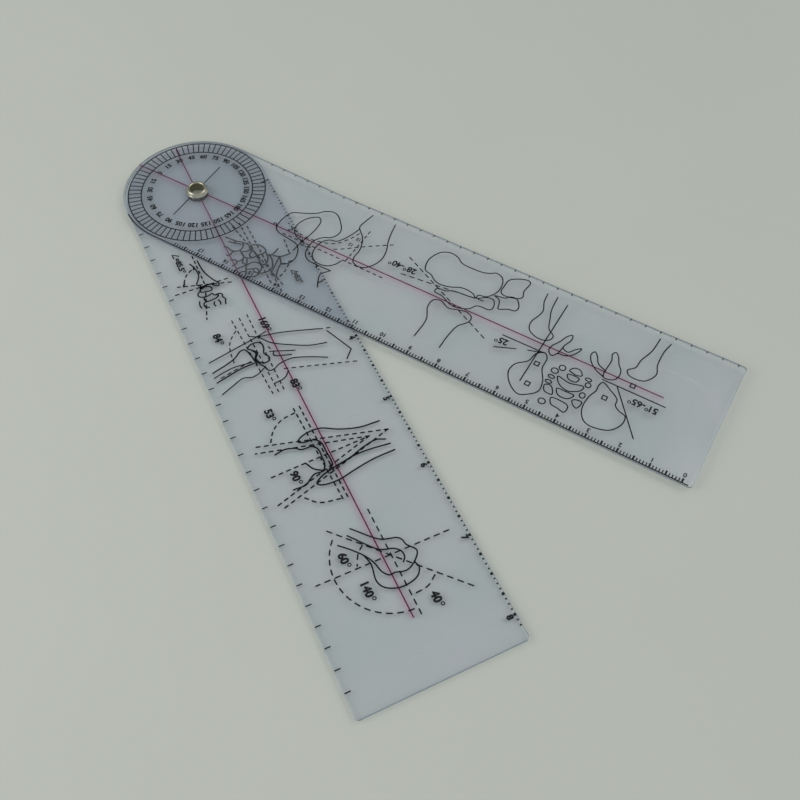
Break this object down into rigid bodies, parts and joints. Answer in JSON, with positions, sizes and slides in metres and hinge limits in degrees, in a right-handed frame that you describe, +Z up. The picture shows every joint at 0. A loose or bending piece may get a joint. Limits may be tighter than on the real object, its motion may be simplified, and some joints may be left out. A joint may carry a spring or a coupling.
{
  "type": "goniometer",
  "caption": "Clear flat goniometer with a full-circle degree dial, a centimetre scale and an inch scale, its arms turning on a hollow eyelet, for measuring how far a joint bends",
  "frame": {"origin": "on the eyelet's axis, midway between the two arms, which is inside the eyelet's bore", "axes": "+Z goes up through the dial arm to the eyelet's domed flange; +X runs along the dial arm to its square end; +Y goes to the dial arm's plain edge, away from its centimetre scale"},
  "size_m": [0.2161, 0.1525, 0.0034],
  "materials": {
    "clear_plastic": "clear flexible vinyl sheet with a faint blue tint, glossy, fine handling scuffs",
    "eyelet_metal": "nickel-plated brass, bright and slightly warm",
    "black_ink": "screen-printed ink, semi-matt",
    "red_ink": "screen-printed ink, semi-matt, slightly see-through"
  },
  "bodies": {
    "dial_arm": {"dial_arm": "clear_plastic", "eyelet": "eyelet_metal", "outer_ring": "black_ink", "inner_ring": "black_ink", "degree_ticks": "black_ink", "ninety_line": "black_ink", "dial_centre_line": "red_ink", "scale_edge_line": "black_ink", "millimetre_ticks": "black_ink", "centimetre_ticks": "black_ink", "fifth_inch_ticks": "black_ink"},
    "inch_arm": {"inch_arm": "clear_plastic", "inch_centre_line": "red_ink", "sixteenth_inch_dots": "black_ink", "quarter_inch_dots": "black_ink", "quarter_inch_ticks": "black_ink"}
  },
  "joints": [
    {"name": "arm_pivot", "type": "hinge", "parent": "dial_arm", "child": "inch_arm", "pos_m": [0, 0, 0], "axis": [0, 0, 1], "continuous": true}
  ]
}
